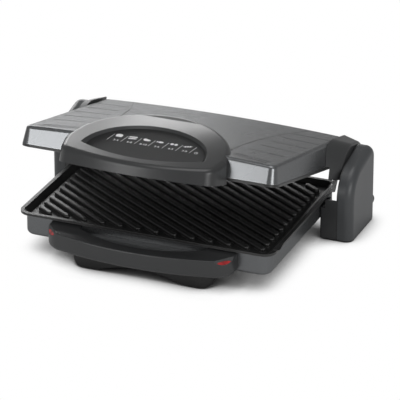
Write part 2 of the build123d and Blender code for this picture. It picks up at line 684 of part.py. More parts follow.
# ---- towers -----------------------------------------------------------------
def tower_outline(inset):
    """Side view of a tower in (y, z), drawn in by inset."""
    slope = (TOWER_REAR_TOP - TOWER_FRONT_TOP) / (TOWER_REAR - TOWER_FRONT)
    front = TOWER_FRONT + inset
    rear = TOWER_REAR - inset
    corners = [
        (front, TOWER_BOTTOM + inset),
        (front, TOWER_FRONT_TOP + slope * inset - inset),
        (rear, TOWER_REAR_TOP - slope * inset - inset),
        (rear, TOWER_BOTTOM + inset),
    ]
    outline = make_face(Polyline(*corners, close=True))
    top = outline.vertices().group_by(Axis.Y)
    outline = fillet(top[-2], TOWER_FRONT_ROUND - inset)
    outline = fillet(outline.vertices().group_by(Axis.Y)[-1], TOWER_REAR_ROUND - inset)
    return outline


def right_tower_shell():
    """Outer cover of the hinge tower: a shell open towards the grill."""
    shell = side_prism(tower_outline(0), TOWER_INNER, TOWER_OUTER)
    rim = [edge for edge in shell.edges() if edge.center().X > TOWER_OUTER - 0.1
           and edge.center().Z > TOWER_BOTTOM + 1]
    shell = fillet(rim, TOWER_SIDE_ROUND)
    hollow = side_prism(tower_outline(TOWER_WALL), TOWER_INNER - 1, TOWER_OUTER - TOWER_WALL)
    rim = [edge for edge in hollow.edges() if edge.center().X > TOWER_OUTER - TOWER_WALL - 0.1
           and edge.center().Z > TOWER_BOTTOM + TOWER_WALL + 1]
    hollow = fillet(rim, TOWER_SIDE_ROUND - TOWER_WALL)
    recess = Pos(TOWER_MIDDLE, REAR_PAD_Y, 0) * Rot(Z=90) * extrude(
        SlotOverall(REAR_PAD_LENGTH + 2 * SEAT_GAP, REAR_PAD_WIDTH + 2 * SEAT_GAP), PAD_HEIGHT + SEAT_GAP
    )
    shell = shell - hollow - recess
    for y, z in SHELL_SCREWS:
        shell = shell + crosswise(BOSS_RADIUS, TOWER_INNER + SHAFT_GAP, TOWER_OUTER - 1, y, z)
        shell = shell - crosswise(SCREW_RADIUS + SHAFT_GAP, TOWER_INNER - 1, TOWER_INNER + SCREW_BITE, y, z)
    return shell


def rear_pad():
    pad = Pos(TOWER_MIDDLE, REAR_PAD_Y, 0) * Rot(Z=90) * extrude(
        SlotOverall(REAR_PAD_LENGTH, REAR_PAD_WIDTH), PAD_HEIGHT
    )
    return fillet(pad.edges().group_by(Axis.Z)[0], 0.6)


def rod_places():
    return [(ROD_X, PIVOT_Y - ROD_OFFSET), (ROD_X, PIVOT_Y + ROD_OFFSET)]


def rod_span():
    """Lower and upper brackets' inner faces, which stop the slider."""
    low = RIM_HEIGHT - SLIDER_HALF_Z - SEAT_GAP
    high = RIM_HEIGHT + LIFT_REST + LIFT_EXTRA + SLIDER_HALF_Z + SEAT_GAP
    return low, high


def block_screw_places():
    """Screws through the housing's side wall into the tower block, as (y, z)."""
    return [(TOWER_FRONT + 12, HOUSING_BOTTOM + 10), (BLOCK_REAR - 8, HOUSING_BOTTOM + 10)]


def right_tower_block():
    """Inner half of the tower: open-topped front block, slotted side wall and rod brackets."""
    inner_face = TOWER_INNER - INNER_PLATE
    wall = side_prism(tower_outline(SEAT_GAP * 2), inner_face, TOWER_INNER)
    travel = LIFT_REST + LIFT_EXTRA
    slot_width = 2 * (PIN_RADIUS + SWING_GAP)
    slot = SlotCenterToCenter(travel, slot_width)
    slot = Pos(PIVOT_Y, RIM_HEIGHT + travel / 2) * Rot(Z=90) * slot
    wall = wall - side_prism(slot, inner_face - 1, TOWER_INNER + 1)
    merge = INNER_PLATE / 3
    width = inner_face - BLOCK_INNER + merge
    depth = BLOCK_REAR - TOWER_FRONT
    block = Pos(BLOCK_INNER + width / 2, TOWER_FRONT + depth / 2, (TOWER_BOTTOM + BLOCK_TOP) / 2) * Box(
        width, depth, BLOCK_TOP - TOWER_BOTTOM
    )
    block = fillet(block.edges().filter_by(Axis.Z).group_by(Axis.X)[0].sort_by(Axis.Y)[0], 2.0)
    inside = Pos(
        BLOCK_INNER + TOWER_WALL + width / 2, TOWER_FRONT + TOWER_WALL + depth / 2,
        TOWER_BOTTOM + TOWER_WALL + BLOCK_TOP / 2,
    ) * Box(width, depth, BLOCK_TOP)
    half = RIM_HEIGHT / 2
    step = Pos(BLOCK_STEP_X - half, TOWER_FRONT + depth / 2, BLOCK_LOW_TOP + half) * Box(
        2 * half, depth + 2, 2 * half
    )
    block = block - inside - step
    piece = wall + block
    low, high = rod_span()
    bracket_depth = 2 * (ROD_OFFSET + ROD_RADIUS + ROD_WALL)
    bracket_width = SLIDER_OUTER - TOWER_INNER
    for bottom, height in ((low - BRACKET_HEIGHT, BRACKET_HEIGHT), (high, ROD_SEAT)):
        bracket = Pos(TOWER_INNER + (bracket_width - merge) / 2, PIVOT_Y, bottom + height / 2)
        piece = piece + bracket * Box(bracket_width + merge, bracket_depth, height)
    for x, y in rod_places():
        piece = piece - upright(ROD_RADIUS + SHAFT_GAP, low - ROD_SEAT, high + ROD_SEAT + 1, x, y)
    for y, z in block_screw_places():
        end = BLOCK_INNER + TOWER_WALL + 1
        piece = piece - crosswise(SCREW_RADIUS + SHAFT_GAP, BLOCK_INNER - 1, end, y, z)
    for y, z in SHELL_SCREWS:
        piece = piece - crosswise(SCREW_RADIUS + SCREW_GAP, inner_face - 1, TOWER_INNER + 1, y, z)
    return piece


def guide_rods():
    low, high = rod_span()
    return [upright(ROD_RADIUS, low - ROD_SEAT + SEAT_GAP, high + ROD_SEAT - SEAT_GAP, x, y)
            for x, y in rod_places()]


def right_block_screws():
    screws = []
    start = HOUSING_WIDTH / 2 - HOUSING_WALL
    for y, z in block_screw_places():
        head = crosswise(SCREW_HEAD_RADIUS, start - SCREW_HEAD, start, y, z)
        shank = crosswise(SCREW_RADIUS, start, BLOCK_INNER + TOWER_WALL + 1.5, y, z)
        screws.append(head + shank)
    return screws


# ---- floating hinge ---------------------------------------------------------
def right_slider():
    """Block that rides up and down on the two rods and carries the hinge pin."""
    width = SLIDER_OUTER - SLIDER_INNER
    block = Box(width, 2 * SLIDER_HALF_Y, 2 * SLIDER_HALF_Z)
    block = Pos(SLIDER_INNER + width / 2, PIVOT_Y, RIM_HEIGHT) * block
    block = fillet(block.edges().filter_by(Axis.X), 3)
    for x, y in rod_places():
        block = block - upright(ROD_RADIUS + SHAFT_GAP, 0, 2 * RIM_HEIGHT, x, y)
    return block - crosswise(PIN_RADIUS + SHAFT_GAP, 0, TOWER_OUTER, PIVOT_Y, RIM_HEIGHT)


def right_hinge_pin():
    """Hollow steel pin with a head outside the slider; the lid's leads run through its bore."""
    head_start = SLIDER_OUTER + SHAFT_GAP
    shank = crosswise(PIN_RADIUS, PIN_INNER_END, head_start, PIVOT_Y, RIM_HEIGHT)
    head = crosswise(PIN_HEAD_RADIUS, head_start, head_start + PIN_HEAD, PIVOT_Y, RIM_HEIGHT)
    return shank + head - crosswise(PIN_BORE, 0, TOWER_OUTER, PIVOT_Y, RIM_HEIGHT)


# ---- lid cover --------------------------------------------------------------
def lid_body(inset, bottom):
    """Solid under the lid's crowned, tilted top; inset draws every face in."""
    base = RIM_HEIGHT + bottom
    depth = LID_REAR - LID_FRONT
    block = slab(
        LID_WIDTH - 2 * inset, depth - 2 * inset, LID_CORNER - inset,
        base, RIM_HEIGHT + 2 * LID_FRONT_TOP, (LID_FRONT + LID_REAR) / 2, LID_DRAFT,
    )
    half = LID_WIDTH
    edge = LID_FRONT_TOP - inset
    sag = LID_CROWN * (half / (LID_WIDTH / 2)) ** 2
    end = edge + LID_CROWN - sag
    top = make_face([
        ThreePointArc((-half, end), (0, edge + LID_CROWN), (half, end)),
        Polyline((half, end), (half, -half), (-half, -half), (-half, end)),
    ])
    under_top = extrude(Plane.XZ * top, depth, both=True)
    under_top = Pos(0, (LID_FRONT + LID_REAR) / 2, RIM_HEIGHT) * Rot(X=LID_TILT) * under_top
    rise = depth / 2 * tan(radians(LID_TILT))
    body = block & Pos(0, 0, rise) * under_top
    rim = [edge for edge in body.edges() if edge.center().Z > RIM_HEIGHT + LID_FRONT_TOP - inset - 3
           and edge.bounding_box().size.Z < 12]
    return fillet(rim, LID_ROUND - inset)


def pressed_lines():
    """Upright bars over the pressed grooves and the seam of the right side panel."""
    height = 3 * RIM_HEIGHT
    slot = extrude(SlotOverall(GROOVE_LENGTH, GROOVE_WIDTH), height)
    rows = [GROOVE_PAIR_Y, GROOVE_PAIR_Y + GROOVE_PAIR_GAP]
    rows += [GROOVE_FIRST_Y + index * GROOVE_PITCH for index in range(GROOVE_COUNT)]
    bars = []
    for y in rows:
        ahead = y - GROOVE_LEVEL_Y
        place = Pos(GROOVE_LEVEL_X + GROOVE_DRIFT * ahead, y, 0) * Rot(Z=GROOVE_FAN * ahead)
        bars.append(place * slot)
    sides = []
    for shift in (0, SEAM_WIDTH):
        sides.append([
            (SEAM_FRONT_X + shift, LID_FRONT + SEAM_MARGIN), (SEAM_WAIST_X + shift, SEAM_WAIST_Y),
            (SEAM_REAR_X + shift, LID_REAR - SEAM_MARGIN),
        ])
    seam = make_face([
        ThreePointArc(*sides[0]), Line(sides[0][2], sides[1][2]),
        ThreePointArc(*sides[1]), Line(sides[0][0], sides[1][0]),
    ])
    bars.append(extrude(seam, height))
    return bars


def arm_screw_start():
    """Distance from the middle to the lid's inner wall at the arm screws."""
    rise = ARM_SCREWS[0][1] - LID_BOTTOM
    return LID_WIDTH / 2 - LID_WALL - SEAT_GAP - (rise + SCREW_HEAD_RADIUS) * tan(radians(LID_DRAFT))


def hood_screw_places():
    """The two screws that hold the hood to the lid's top wall."""
    angle = radians(HOOD_SCREW_ANGLE)
    inset = WINDOW_INSET + HOOD_SCREW_STEP
    x = (HOOD_HALF - inset) * cos(angle)
    y = HOOD_SIDE_Y + (HOOD_ARCH - inset) * sin(angle)
    return [(-x, y), (x, y)]


def hood_screw_height():
    """Underside of the lid's top wall at the hood screws, above the table."""
    x, y = hood_screw_places()[1]
    drop = LID_CROWN * (x / (LID_WIDTH / 2)) ** 2
    rise = (y - LID_FRONT) * tan(radians(LID_TILT))
    return RIM_HEIGHT + LID_FRONT_TOP + LID_CROWN - drop + rise - LID_WALL


def hood_window(clearance):
    """Cut through the lid's top and front under the hood, with tabs for the hood's screws."""
    bottom = RIM_HEIGHT + WINDOW_BOTTOM + clearance
    window = Pos(0, 0, bottom) * extrude(hood_outline(WINDOW_INSET + clearance), 60)
    for x, y in hood_screw_places():
        window = window - upright(WINDOW_TAB + clearance, bottom - 1, bottom + 61, x, y)
    return window


def lid_envelope():
    """The lid cover grown by the seat gap, without its window."""
    return lid_body(-SEAT_GAP, LID_BOTTOM - SEAT_GAP) - hood_window(SEAT_GAP)


def lid_cover():
    """Metallic cover: crowned top, drafted walls, narrow flange below, pressed grooves."""
    outer = lid_body(0, LID_BOTTOM)
    skin = outer - Pos(0, 0, -GROOVE_DEPTH) * outer
    hollow = lid_body(LID_WALL, LID_BOTTOM + LID_WALL)
    opening = slab(
        PLATE_WIDTH - 2 * COLLAR_INSET + 2 * SEAT_GAP, PLATE_DEPTH - 2 * COLLAR_INSET + 2 * SEAT_GAP,
        PLATE_CORNER - 1 + SEAT_GAP, RIM_HEIGHT, RIM_HEIGHT + LID_BOTTOM + LID_WALL + 1, PLATE_MIDDLE,
    )
    cover = outer - hollow - opening - hood_window(0)
    for bar in pressed_lines():
        groove = bar & skin
        cover = cover - groove - on_left(groove)
    for y, z in ARM_SCREWS:
        hole = crosswise(SCREW_RADIUS + SCREW_GAP, LID_WIDTH / 2 - 10, LID_WIDTH / 2, y, RIM_HEIGHT + z)
        cover = cover - hole - on_left(hole)
    for x, y in hood_screw_places():
        height = hood_screw_height()
        cover = cover - upright(SCREW_RADIUS + SCREW_GAP, height - 3, height + 9, x, y)
    return cover


# ---- lid arms ---------------------------------------------------------------
def arm_profile(front, top, rear):
    """Side view of an arm in (y, z), with wide rounds at the front and behind."""
    bottom = RIM_HEIGHT + ARM_BOTTOM
    outline = Pos((front + rear) / 2, (bottom + RIM_HEIGHT + top) / 2) * Rectangle(
        rear - front, RIM_HEIGHT + top - bottom
    )
    outline = fillet(outline.vertices().group_by(Axis.Y)[-1].sort_by(Axis.X)[0], ARM_FRONT_ROUND)
    return fillet(outline.vertices().sort_by(Axis.X)[-2:].sort_by(Axis.Y)[-1], ARM_REAR_ROUND)


def right_lid_arm():
    """Arm on the lid's side wall that tapers outwards and turns on the hinge pin."""
    inner = arm_profile(ARM_INNER_FRONT, ARM_INNER_TOP, ARM_INNER_REAR)
    outer = arm_profile(ARM_OUTER_FRONT, ARM_OUTER_TOP, ARM_OUTER_REAR)
    arm = loft([Plane.YZ.offset(ARM_INNER) * inner, Plane.YZ.offset(ARM_OUTER) * outer], ruled=True)
    shoulder = [edge for edge in arm.edges() if edge.center().X > ARM_OUTER - 0.1
                and edge.center().Z > RIM_HEIGHT + ARM_BOTTOM + 1]
    arm = fillet(shoulder, ARM_SHOULDER)
    arm = arm - lid_body(-SEAT_GAP, LID_BOTTOM - SEAT_GAP)
    notch_face = LID_WIDTH / 2 + ARM_NOTCH_GAP
    arm = arm - Pos(notch_face - RIM_HEIGHT / 2, PIVOT_Y, RIM_HEIGHT / 2 + ARM_NOTCH_Z) * Box(
        RIM_HEIGHT, PLATE_DEPTH, RIM_HEIGHT
    )
    rear_face = LID_WIDTH / 2 + ARM_REAR_GAP
    arm = arm - Pos(rear_face - RIM_HEIGHT / 2, LID_REAR - 1 + RIM_HEIGHT / 2, RIM_HEIGHT) * Box(
        RIM_HEIGHT, RIM_HEIGHT, 2 * RIM_HEIGHT
    )
    bore_start = PIN_INNER_END - SEAT_GAP
    arm = arm - crosswise(PIN_RADIUS + SHAFT_GAP, bore_start, TOWER_OUTER, PIVOT_Y, RIM_HEIGHT)
    arm = arm - arm_strip(SHAFT_GAP)
    for y, z in ARM_SCREWS:
        end = arm_screw_start() + SCREW_BITE + 0.5
        arm = arm - crosswise(SCREW_RADIUS + SHAFT_GAP, ARM_INNER - 5, end, y, RIM_HEIGHT + z)
    return arm


def arm_strip(clearance=0):
    """Steel strip let into the arm's lower end, which limits how far the lid tips back."""
    half = STRIP_WIDTH / 2 + clearance
    profile = make_face(Polyline(
        (STRIP_TOP[0] - half, RIM_HEIGHT + STRIP_TOP[1] + clearance),
        (STRIP_TOP[0] + half, RIM_HEIGHT + STRIP_TOP[1] + clearance),
        (STRIP_FOOT[0] + half, RIM_HEIGHT + STRIP_FOOT[1]),
        (STRIP_FOOT[0] - half, RIM_HEIGHT + STRIP_FOOT[1]),
        close=True,
    ))
    half_sheet = STRIP_SHEET / 2 + clearance
    return side_prism(profile, STRIP_X - half_sheet, STRIP_X + half_sheet)


def right_arm_screws():
    screws = []
    start = arm_screw_start()
    for y, z in ARM_SCREWS:
        head = crosswise(SCREW_HEAD_RADIUS, start - SCREW_HEAD, start, y, RIM_HEIGHT + z)
        shank = crosswise(SCREW_RADIUS, start, start + SCREW_BITE, y, RIM_HEIGHT + z)
        screws.append(head + shank)
    return screws


# ---- console hood -----------------------------------------------------------
def hood_outline(inset):
    """Plan of the hood: bowed front, short splayed sides and a half-oval rear."""
    half = HOOD_HALF - inset
    corner_x = HOOD_CORNER_X - inset
    corner_y = HOOD_CORNER_Y + inset / 2
    outline = make_face([
        ThreePointArc((-corner_x, corner_y), (0, inset - HOOD_FRONT), (corner_x, corner_y)),
        Line((corner_x, corner_y), (half, HOOD_SIDE_Y)),
        EllipticalCenterArc((0, HOOD_SIDE_Y), half, HOOD_ARCH - inset, arc_size=180),
        Line((-half, HOOD_SIDE_Y), (-corner_x, corner_y)),
    ])
    front = outline.vertices().group_by(Axis.Y)[0]
    return fillet(front, HOOD_CORNER_ROUND - inset / 4)


def slope_plane(y, lower, extra=0):
    """Plane of the hood's sloping top at y, moved down square to itself and tilted by extra."""
    height = RIM_HEIGHT + HOOD_LIP + (y - HOOD_LIP_Y) * tan(radians(HOOD_SLOPE))
    surface = Plane(origin=(0, y, height), x_dir=(1, 0, 0), z_dir=(0, 0, 1)).rotated((HOOD_SLOPE, 0, 0))
    return surface.offset(-lower).rotated((extra, 0, 0))


def hood_solid(inset):
    """Solid under the hood's sloping top, rounded along its edge; inset draws every face in."""
    bottom = RIM_HEIGHT + HOOD_BOTTOM
    top = bottom + HOOD_RISE
    shrink = HOOD_RISE * tan(radians(HOOD_DRAFT))
    block = loft(
        [Pos(0, 0, bottom) * hood_outline(inset), Pos(0, 0, top) * hood_outline(inset + shrink)], ruled=True
    )
    size = 2 * PLATE_WIDTH
    block = block - slope_plane(HOOD_LIP_Y, inset) * Pos(0, 0, size / 2) * Box(size, size, size)
    rim = block.faces().sort_by(Axis.Z)[-1].edges()
    return fillet(rim, HOOD_EDGE_ROUND - inset)


def pocket_outline(margin):
    """Outline of the label pocket along the slope."""
    half = PANEL_HALF + margin
    return make_face([
        ThreePointArc((-half, -margin), (0, -PANEL_BOW - margin), (half, -margin)),
        EllipticalCenterArc((0, -margin), half, PANEL_ARCH + 2 * margin, arc_size=180),
    ])


def pocket(margin, extra_depth):
    """Room for the label: flares from its floor up through the hood's surface."""
    floor = slope_plane(PANEL_SIDE_Y, PANEL_DEPTH + extra_depth, PANEL_TILT)
    rim = slope_plane(PANEL_SIDE_Y, -PANEL_DEPTH)
    flare = PANEL_FLARE * 2
    return loft([floor * pocket_outline(margin), rim * pocket_outline(margin + flare)], ruled=True)


def hood_boss(x, y, low, high):
    return upright(BOSS_RADIUS, low, high, x, y)


def console_hood():
    """Hollow grip hood astride the lid's front edge, with a sunk field for the label."""
    solid = hood_solid(0)
    hollow = hood_solid(HOOD_WALL) - pocket(HOOD_WALL, HOOD_WALL + PANEL_SHEET)
    bosses = []
    for x, y in hood_screw_places():
        bosses.append(hood_boss(x, y, RIM_HEIGHT, RIM_HEIGHT + HOOD_RISE))
    for x in (-UNDERSIDE_SCREW_X, UNDERSIDE_SCREW_X):
        low = RIM_HEIGHT + UNDERSIDE_TOP + SEAT_GAP
        bosses.append(hood_boss(x, UNDERSIDE_SCREW_Y, low, RIM_HEIGHT + HOOD_RISE))
    for boss in bosses:
        hollow = hollow - boss
    hood = solid - hollow - pocket(0, PANEL_SHEET)
    hood = hood - lid_envelope()
    rear = LID_FRONT - SEAT_GAP - 1
    under_lid = RIM_HEIGHT + LID_BOTTOM + SEAT_GAP / 2
    hood = hood - Pos(0, rear + PLATE_DEPTH / 2, under_lid - RIM_HEIGHT / 2) * Box(
        2 * PLATE_WIDTH, PLATE_DEPTH, RIM_HEIGHT
    )
    lid_top = hood_screw_height()
    for x, y in hood_screw_places():
        hood = hood - upright(SCREW_RADIUS + SHAFT_GAP, lid_top, lid_top + SCREW_BITE + 0.5, x, y)
    low = RIM_HEIGHT + UNDERSIDE_TOP - 1
    for x in (-UNDERSIDE_SCREW_X, UNDERSIDE_SCREW_X):
        hood = hood - upright(
            SCREW_RADIUS + SHAFT_GAP, low, low + SCREW_BITE + 1.5, x, UNDERSIDE_SCREW_Y
        )
    return hood


def console_label_panel():
    """Thin printed sheet on the floor of the pocket."""
    floor = slope_plane(PANEL_SIDE_Y, PANEL_DEPTH + PANEL_SHEET - SHAFT_GAP, PANEL_TILT)
    return extrude(floor * pocket_outline(-SEAT_GAP), PANEL_SHEET - SHAFT_GAP, dir=floor.z_dir)


def hood_underside():
    """Flat cover that closes the front of the hood from below."""
    top = RIM_HEIGHT + UNDERSIDE_TOP
    rise = UNDERSIDE_TOP - HOOD_BOTTOM
    inset = HOOD_WALL + SEAT_GAP + rise * tan(radians(HOOD_DRAFT))
    plate = Pos(0, 0, top - UNDERSIDE_SHEET) * extrude(hood_outline(inset), UNDERSIDE_SHEET)
    rear = LID_FRONT - 2 * SEAT_GAP - 1
    plate = plate - Pos(0, rear + PLATE_DEPTH / 2, top) * Box(2 * PLATE_WIDTH, PLATE_DEPTH, RIM_HEIGHT)
    for x in (-UNDERSIDE_SCREW_X, UNDERSIDE_SCREW_X):
        plate = plate - upright(SCREW_RADIUS + SCREW_GAP, top - 5, top + 5, x, UNDERSIDE_SCREW_Y)
    return plate


def hood_screws():
    """Two screws up through the lid's top wall and two through the underside cover."""
    screws = []
    for x, y in hood_screw_places():
        bottom = hood_screw_height() - SCREW_HEAD - SEAT_GAP
        screws.append(screw(bottom, SCREW_BITE, x, y))
    for x in (-UNDERSIDE_SCREW_X, UNDERSIDE_SCREW_X):
        bottom = RIM_HEIGHT + UNDERSIDE_TOP - UNDERSIDE_SHEET - SCREW_HEAD
        screws.append(screw(bottom, SCREW_BITE, x, UNDERSIDE_SCREW_Y))
    return screws


# ---- upper plate ------------------------------------------------------------
def upper_plate_screws():
    """Short screws that clamp the upper reflector to the plate's bosses, heads up."""
    top = 2 * RIM_HEIGHT + SEAT_GAP - REFLECTOR_BOTTOM
    turned = []
    for x in (-BOSS_X, BOSS_X):
        for y in BOSS_ROWS:
            upright_screw = screw(0, SCREW_BITE, 0, 0)
            turned.append(Pos(x, y, top + SCREW_HEAD) * Rot(X=180) * upright_screw)
    return turned


# ---- electrical parts -------------------------------------------------------
def right_pilot_lamp():
    """Neon lamp behind the lens, its glass lying along Y."""
    tube = lengthwise(LAMP_RADIUS, LAMP_FRONT, LAMP_FRONT + LAMP_LENGTH, LAMP_X, LAMP_Z)
    return fillet(tube.edges().sort_by(Axis.Y)[0], LAMP_RADIUS * 0.6)


def right_lamp_holder():
    """Block on the handle's rear wall that grips the lamp's rear end."""
    rear = HOUSING_FRONT - SEAT_GAP - HANDLE_WALL - SEAT_GAP
    front = LAMP_FRONT + LAMP_LENGTH - LAMP_GRIP
    block = Pos(LAMP_X, (rear + front) / 2, LAMP_Z) * Box(HOLDER_WIDTH, rear - front, HOLDER_HEIGHT)
    bore = lengthwise(LAMP_RADIUS + SHAFT_GAP, front - 1, front + LAMP_GRIP, LAMP_X, LAMP_Z)
    return fillet(block.edges().filter_by(Axis.Y), 1) - bore


def thermostat():
    """Bimetal switch held up against the lower reflector."""
    top = REFLECTOR_BOTTOM - SEAT_GAP
    can = upright(THERMOSTAT_RADIUS, top - THERMOSTAT_HEIGHT, top, 0, THERMOSTAT_Y)
    can = fillet(can.edges().sort_by(Axis.Z)[-1], 1)
    for side in (-1, 1):
        x = side * THERMOSTAT_RADIUS / 2
        can = can + Pos(x, THERMOSTAT_Y, top - THERMOSTAT_HEIGHT) * Box(0.8, 6, 4)
    return can


def thermal_fuse():
    """Small cut-out with a lead lug at each end, lying under the reflector."""
    z = REFLECTOR_BOTTOM - SEAT_GAP - FUSE_RADIUS
    body = crosswise(FUSE_RADIUS, -FUSE_LENGTH / 2, FUSE_LENGTH / 2, FUSE_Y, z)
    reach = FUSE_LENGTH / 2 + FUSE_LUG
    return body + crosswise(FUSE_RADIUS / 3, -reach, reach, FUSE_Y, z)


def terminal_block():
    """Screw terminals for the supply, standing on the bottom cover."""
    width, depth, height = TERMINAL_BLOCK
    place = Pos(TERMINAL_BLOCK_X, TERMINAL_BLOCK_Y, COVER_TOP + height / 2 + SHAFT_GAP)
    block = place * Box(width, depth, height)
    block = fillet(block.edges().filter_by(Axis.X), 1)
    pitch = width / TERMINAL_COUNT
    for index in range(TERMINAL_COUNT):
        x = TERMINAL_BLOCK_X + (index - (TERMINAL_COUNT - 1) / 2) * pitch
        top = COVER_TOP + height
        block = block - upright(pitch / 3.5, top - height / 2, top + 1, x, TERMINAL_BLOCK_Y)
    return block


def cord_gland():
    """Round inlet for the supply cord through the rear of the right tower."""
    inside = TOWER_REAR - GLAND_INSIDE
    tube = lengthwise(GLAND_RADIUS, inside, TOWER_REAR + GLAND_PROUD, GLAND_X, GLAND_Z)
    flange = lengthwise(
        GLAND_FLANGE, TOWER_REAR + SHAFT_GAP, TOWER_REAR + GLAND_PROUD, GLAND_X, GLAND_Z
    )
    gland = tube + flange
    gland = fillet(gland.edges().sort_by(Axis.Y)[-1], 1.5)
    return gland - lengthwise(GLAND_BORE, inside - 1, TOWER_REAR + GLAND_PROUD + 1, GLAND_X, GLAND_Z)


def handle_screws():
    """Screws from inside the housing's front wall into the handle's bosses."""
    screws = []
    for x, y, z in handle_screw_places():
        head_front = y + HOUSING_WALL + SHAFT_GAP
        head = lengthwise(SCREW_HEAD_RADIUS, head_front, head_front + SCREW_HEAD, x, z)
        screws.append(head + lengthwise(SCREW_RADIUS, y - SCREW_BITE, head_front, x, z))
    return screws


def right_shell_screws():
    """Screws from the tower's inner wall into the bosses of its outer shell."""
    screws = []
    face = TOWER_INNER - INNER_PLATE - SHAFT_GAP
    for y, z in SHELL_SCREWS:
        head = crosswise(SCREW_HEAD_RADIUS, face - SCREW_HEAD, face, y, z)
        screws.append(head + crosswise(SCREW_RADIUS, face, face + SCREW_BITE, y, z))
    return screws


# ---- assembly ---------------------------------------------------------------
def right_and_left(name, piece):
    """The right-hand piece and its mirror image, under their two names."""
    group = piece if isinstance(piece, list) else [piece]
    return {"right_" + name: group, "left_" + name: [on_left(one) for one in group]}


def base_pieces():
    plate = grill_plate()
    pieces = {
        "lower_housing": [lower_housing()],
        "bottom_cover": [bottom_cover()],
        "lower_grill_plate": [with_spout(plate)],
        "lower_heating_element": [heating_element()],
        "lower_reflector": [reflector()],
        "lower_plate_screws": lower_plate_screws(),
        "front_handle": [front_handle()],
        "handle_screws": handle_screws(),
        "front_foot_bar": [front_foot_bar()],
        "front_foot_pads": front_foot_pads(),
        "rear_foot_pads": [rear_pad(), on_left(rear_pad())],
        "thermostat": [thermostat()],
        "thermal_fuse": [thermal_fuse()],
        "terminal_block": [terminal_block()],
        "cord_gland": [cord_gland()],
    }
    shell = right_tower_shell()
    gland_hole = lengthwise(
        GLAND_RADIUS + SHAFT_GAP, TOWER_REAR - 30, TOWER_REAR + 10, GLAND_X, GLAND_Z
    )
    boss = lengthwise(GLAND_BOSS, TOWER_REAR - GLAND_BOSS_DEPTH, TOWER_REAR, GLAND_X, GLAND_Z)
    pieces["right_tower_shell"] = [shell + boss - gland_hole]
    pieces["left_tower_shell"] = [on_left(shell)]
    pieces |= right_and_left("tower_block", right_tower_block())
    pieces |= right_and_left("guide_rods", guide_rods())
    pieces |= right_and_left("block_screws", right_block_screws())
    pieces |= right_and_left("shell_screws", right_shell_screws())
    pieces |= right_and_left("lamp_lens", lens_shape(0))
    pieces |= right_and_left("pilot_lamp", right_pilot_lamp())
    pieces |= right_and_left("lamp_holder", right_lamp_holder())
    return pieces, plate


def carriage_pieces():
    pieces = right_and_left("slider", right_slider())
    pieces |= right_and_left("hinge_pin", right_hinge_pin())
    return {name: [CARRIAGE_POSE * one for one in group] for name, group in pieces.items()}


def lid_pieces(plate):
    pieces = {
        "lid_cover": [lid_cover()],
        "upper_grill_plate": [flipped(plate)],
        "upper_heating_element": [flipped(heating_element())],
        "upper_reflector": [flipped(reflector())],
        "upper_plate_screws": upper_plate_screws(),
        "console_hood": [console_hood()],
        "console_label_panel": [console_label_panel()],
        "hood_underside": [hood_underside()],
        "hood_screws": hood_screws(),
    }
    pieces |= right_and_left("lid_arm", right_lid_arm())
    pieces |= right_and_left("arm_strip", arm_strip())
    pieces |= right_and_left("arm_screws", right_arm_screws())
    return {name: [LID_POSE * one for one in group] for name, group in pieces.items()}


def main():
    pieces, plate = base_pieces()
    pieces |= carriage_pieces()
    pieces |= lid_pieces(plate)
    everything = Compound([one for group in pieces.values() for one in group])
    box = everything.bounding_box()
    centring = Pos(0, -(box.min.Y + box.max.Y) / 2, 0)
    print("shift along Y:", centring.position.Y, "size:", box.size)
    os.makedirs("parts", exist_ok=True)
    for name, group in pieces.items():
        placed = [centring * one for one in group]
        shape = placed[0] if len(placed) == 1 else Compound(placed)
        export_step(shape, "parts/" + name + ".step")


if __name__ == "__main__":
    main()
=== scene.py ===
import json
from math import cos, pi, radians, sin

import bpy
from mathutils import Matrix, Vector


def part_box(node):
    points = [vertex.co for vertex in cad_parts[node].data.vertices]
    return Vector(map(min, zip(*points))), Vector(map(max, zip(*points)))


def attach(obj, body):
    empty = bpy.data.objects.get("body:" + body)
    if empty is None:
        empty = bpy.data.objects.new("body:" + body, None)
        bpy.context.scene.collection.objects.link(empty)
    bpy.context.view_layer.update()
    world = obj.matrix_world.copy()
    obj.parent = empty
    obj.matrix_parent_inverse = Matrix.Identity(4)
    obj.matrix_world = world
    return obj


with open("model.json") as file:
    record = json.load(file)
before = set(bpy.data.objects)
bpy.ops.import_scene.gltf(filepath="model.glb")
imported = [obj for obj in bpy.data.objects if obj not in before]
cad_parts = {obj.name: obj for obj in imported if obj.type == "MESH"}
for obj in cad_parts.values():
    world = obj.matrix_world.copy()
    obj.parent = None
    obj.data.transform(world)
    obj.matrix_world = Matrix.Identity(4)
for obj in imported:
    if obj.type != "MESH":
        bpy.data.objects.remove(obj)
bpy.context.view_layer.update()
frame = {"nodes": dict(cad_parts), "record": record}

# The looks of a contact grill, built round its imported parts.  Lengths are in
# metres, +Z is up from the table, and the user stands at -Y.

NODES = frame["nodes"]
MM = 0.001

# ---- camera, as fitted to the photograph --------------------------------------
VIEW_AZIMUTH = radians(22.3219)      # the camera stands to the right of -Y
VIEW_ELEVATION = radians(24.6337)
VIEW_DISTANCE = 3.99065
VIEW_TARGET = Vector((0, 0.002328, 0.075))
VIEW_ACROSS = 0.02242                # the target lies this far left of the picture's middle
VIEW_ALONG = -0.02475                # and this far above it
VIEW_LENS = 297.0                    # millimetres
VIEW_SENSOR = 36.0
VIEW_REACH = 50.0                    # nothing farther than this is drawn

